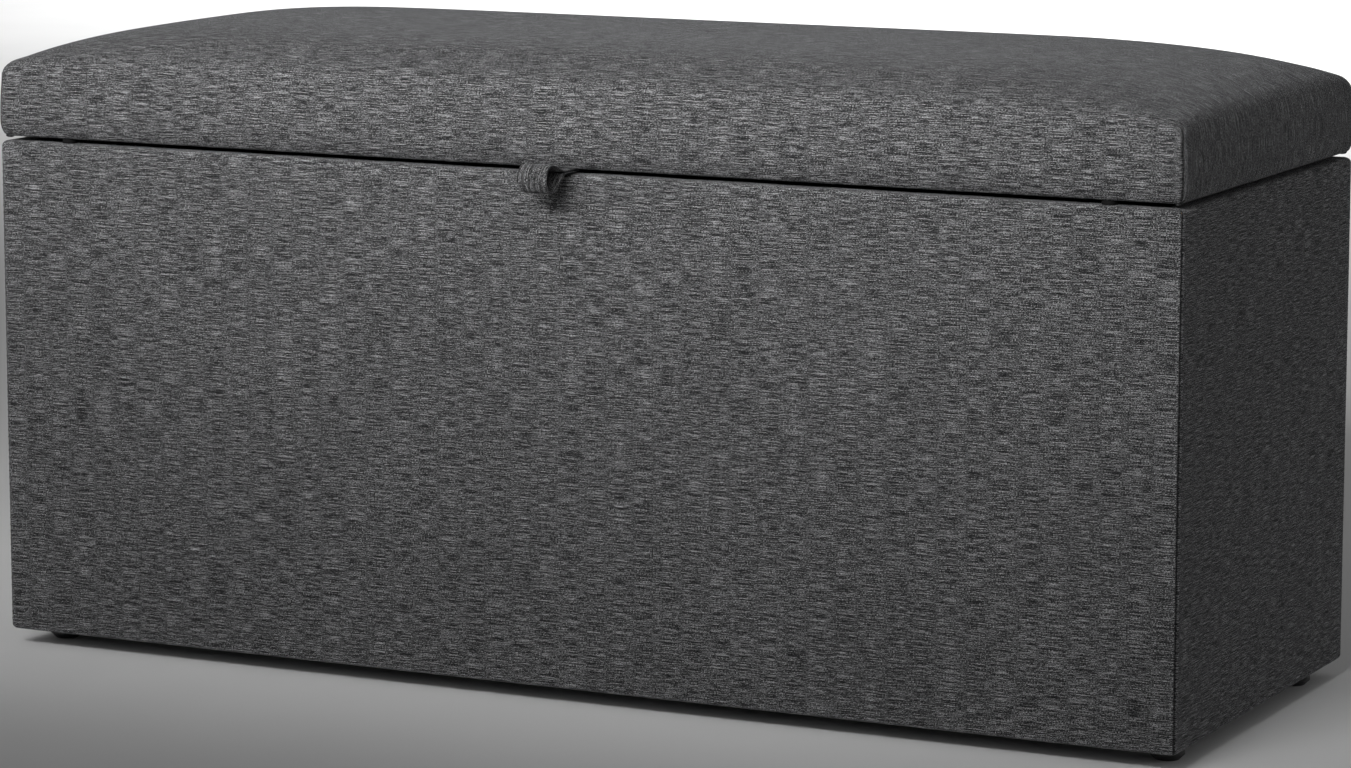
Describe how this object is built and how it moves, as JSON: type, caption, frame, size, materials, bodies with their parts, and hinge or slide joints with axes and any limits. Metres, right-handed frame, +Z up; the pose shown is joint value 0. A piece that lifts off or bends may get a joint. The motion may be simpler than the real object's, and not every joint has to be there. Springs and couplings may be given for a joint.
{
  "type": "storage bench",
  "caption": "Upholstered storage bench: a long fabric-covered box on low glides with a padded, domed lid that lifts on back hinges and gas struts.",
  "frame": {"origin": "on the floor, at the centre of the footprint with the pull tab and the hinge knuckles included", "axes": "+Z up, the front with the pull tab faces -Y, the length runs along X"},
  "size_m": [1, 0.4182, 0.502],
  "materials": {
    "charcoal_weave": "matte",
    "black_lining": "matte",
    "dust_cloth": "matte",
    "foam": "matte",
    "wadding": "matte",
    "board": "matte",
    "glide_plastic": "satin",
    "hinge_steel": "satin",
    "screw_steel": "satin",
    "strut_black": "satin",
    "strut_chrome": "polished",
    "strut_plastic": "satin",
    "bracket_steel": "satin",
    "bumper_rubber": "matte"
  },
  "bodies": {
    "case": {"back_cover": "charcoal_weave", "back_panel": "board", "bottom_batten_back": "board", "bottom_batten_front": "board", "bottom_batten_left": "board", "bottom_batten_right": "board", "bottom_panel": "board", "bottom_screws": "screw_steel", "dust_cover": "dust_cloth", "floor_lining": "black_lining", "front_cover": "charcoal_weave", "front_panel": "board", "glide_back_left": "glide_plastic", "glide_back_right": "glide_plastic", "glide_front_left": "glide_plastic", "glide_front_right": "glide_plastic", "glide_screws": "screw_steel", "hinge_case_leaf_left": "hinge_steel", "hinge_case_leaf_right": "hinge_steel", "hinge_case_screws": "screw_steel", "hinge_pin_left": "hinge_steel", "hinge_pin_right": "hinge_steel", "left_end_cover": "charcoal_weave", "left_end_panel": "board", "lid_bumpers": "bumper_rubber", "lining_back": "black_lining", "lining_front": "black_lining", "lining_left": "black_lining", "lining_right": "black_lining", "panel_screws_back": "screw_steel", "panel_screws_front": "screw_steel", "right_end_cover": "charcoal_weave", "right_end_panel": "board", "strut_case_bracket_left": "bracket_steel", "strut_case_bracket_right": "bracket_steel", "strut_case_screws": "screw_steel"},
    "lid": {"lid_board": "board", "foam_pad": "foam", "wadding": "wadding", "lid_cover": "charcoal_weave", "lid_lining": "black_lining", "hinge_lid_leaf_left": "hinge_steel", "hinge_lid_leaf_right": "hinge_steel", "hinge_lid_screws": "screw_steel", "strut_lid_bracket_left": "bracket_steel", "strut_lid_bracket_right": "bracket_steel", "strut_lid_screws": "screw_steel", "pull_tab_tail": "charcoal_weave"},
    "left_strut_tube": {"strut_tube_left": "strut_black", "strut_gland_left": "strut_plastic", "strut_case_socket_left": "strut_plastic"},
    "left_strut_rod": {"strut_rod_left": "strut_chrome", "strut_lid_socket_left": "strut_plastic"},
    "right_strut_tube": {"strut_tube_right": "strut_black", "strut_gland_right": "strut_plastic", "strut_case_socket_right": "strut_plastic"},
    "right_strut_rod": {"strut_rod_right": "strut_chrome", "strut_lid_socket_right": "strut_plastic"},
    "pull_tab": {"pull_tab": "charcoal_weave"}
  },
  "joints": [
    {"name": "lid_hinge", "type": "hinge", "parent": "case", "child": "lid", "pos_m": [0, 0.20592, 0.4115], "axis": [-1, 0, 0], "range_deg": [0, 80]},
    {"name": "left_strut_tube_pivot", "type": "hinge", "parent": "case", "child": "left_strut_tube", "pos_m": [-0.466, 0.15181, 0.21896], "axis": [-1, 0, 0], "range_deg": [0, 40]},
    {"name": "left_strut_rod_pivot", "type": "hinge", "parent": "lid", "child": "left_strut_rod", "pos_m": [-0.466, 0.00649, 0.3965], "axis": [-1, 0, 0], "range_deg": [-40, 0]},
    {"name": "right_strut_tube_pivot", "type": "hinge", "parent": "case", "child": "right_strut_tube", "pos_m": [0.466, 0.15181, 0.21896], "axis": [-1, 0, 0], "range_deg": [0, 40]},
    {"name": "right_strut_rod_pivot", "type": "hinge", "parent": "lid", "child": "right_strut_rod", "pos_m": [0.466, 0.00649, 0.3965], "axis": [-1, 0, 0], "range_deg": [-40, 0]},
    {"name": "pull_tab_flex", "type": "hinge", "parent": "lid", "child": "pull_tab", "pos_m": [0, -0.16978, 0.4118], "axis": [-1, 0, 0], "range_deg": [-35, 50], "stiffness_Nm_per_rad": 0.02}
  ],
  "couplings": [
    {"joint": "left_strut_tube_pivot", "follows": "lid_hinge", "ratio": 0.5},
    {"joint": "left_strut_rod_pivot", "follows": "lid_hinge", "ratio": -0.5},
    {"joint": "right_strut_tube_pivot", "follows": "lid_hinge", "ratio": 0.5},
    {"joint": "right_strut_rod_pivot", "follows": "lid_hinge", "ratio": -0.5}
  ]
}
